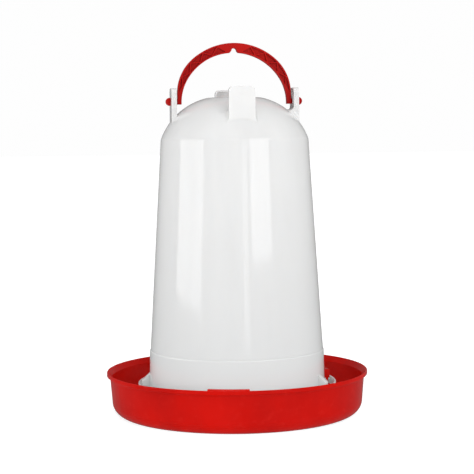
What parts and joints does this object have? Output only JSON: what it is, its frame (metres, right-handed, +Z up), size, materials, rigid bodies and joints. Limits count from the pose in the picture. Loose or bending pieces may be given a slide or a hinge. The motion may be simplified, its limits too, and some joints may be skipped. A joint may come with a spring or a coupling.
{
  "type": "poultry waterer fount",
  "caption": "Gravity poultry drinker: a tapered translucent tank with a domed top and upright feet, twist-locked onto a round open trough, with a folding arched carrying handle.",
  "frame": {"origin": "centre of the tray's flat underside", "axes": "+Z up along the tank; +X along the handle's hinge axis, from one ear to the other; -Y towards the foot that faces the viewer"},
  "size_m": [0.3372, 0.3372, 0.4767],
  "materials": {
    "tray_plastic": "glossy injection moulding, opaque red",
    "tank_plastic": "glossy translucent natural white polyethylene",
    "handle_plastic": "satin moulding, opaque darker red"
  },
  "bodies": {
    "tray": {"drinking_tray": "tray_plastic"},
    "tank": {"fount_tank": "tank_plastic"},
    "handle": {"bail_handle": "handle_plastic"}
  },
  "joints": [
    {"name": "tank_twist", "type": "hinge", "parent": "tray", "child": "tank", "pos_m": [0, 0, 0], "axis": [0, 0, 1], "range_deg": [0, 24.5]},
    {"name": "handle_hinge", "type": "hinge", "parent": "tank", "child": "handle", "pos_m": [0, 0, 0.4024], "axis": [1, 0, 0], "range_deg": [-90, 90]}
  ]
}
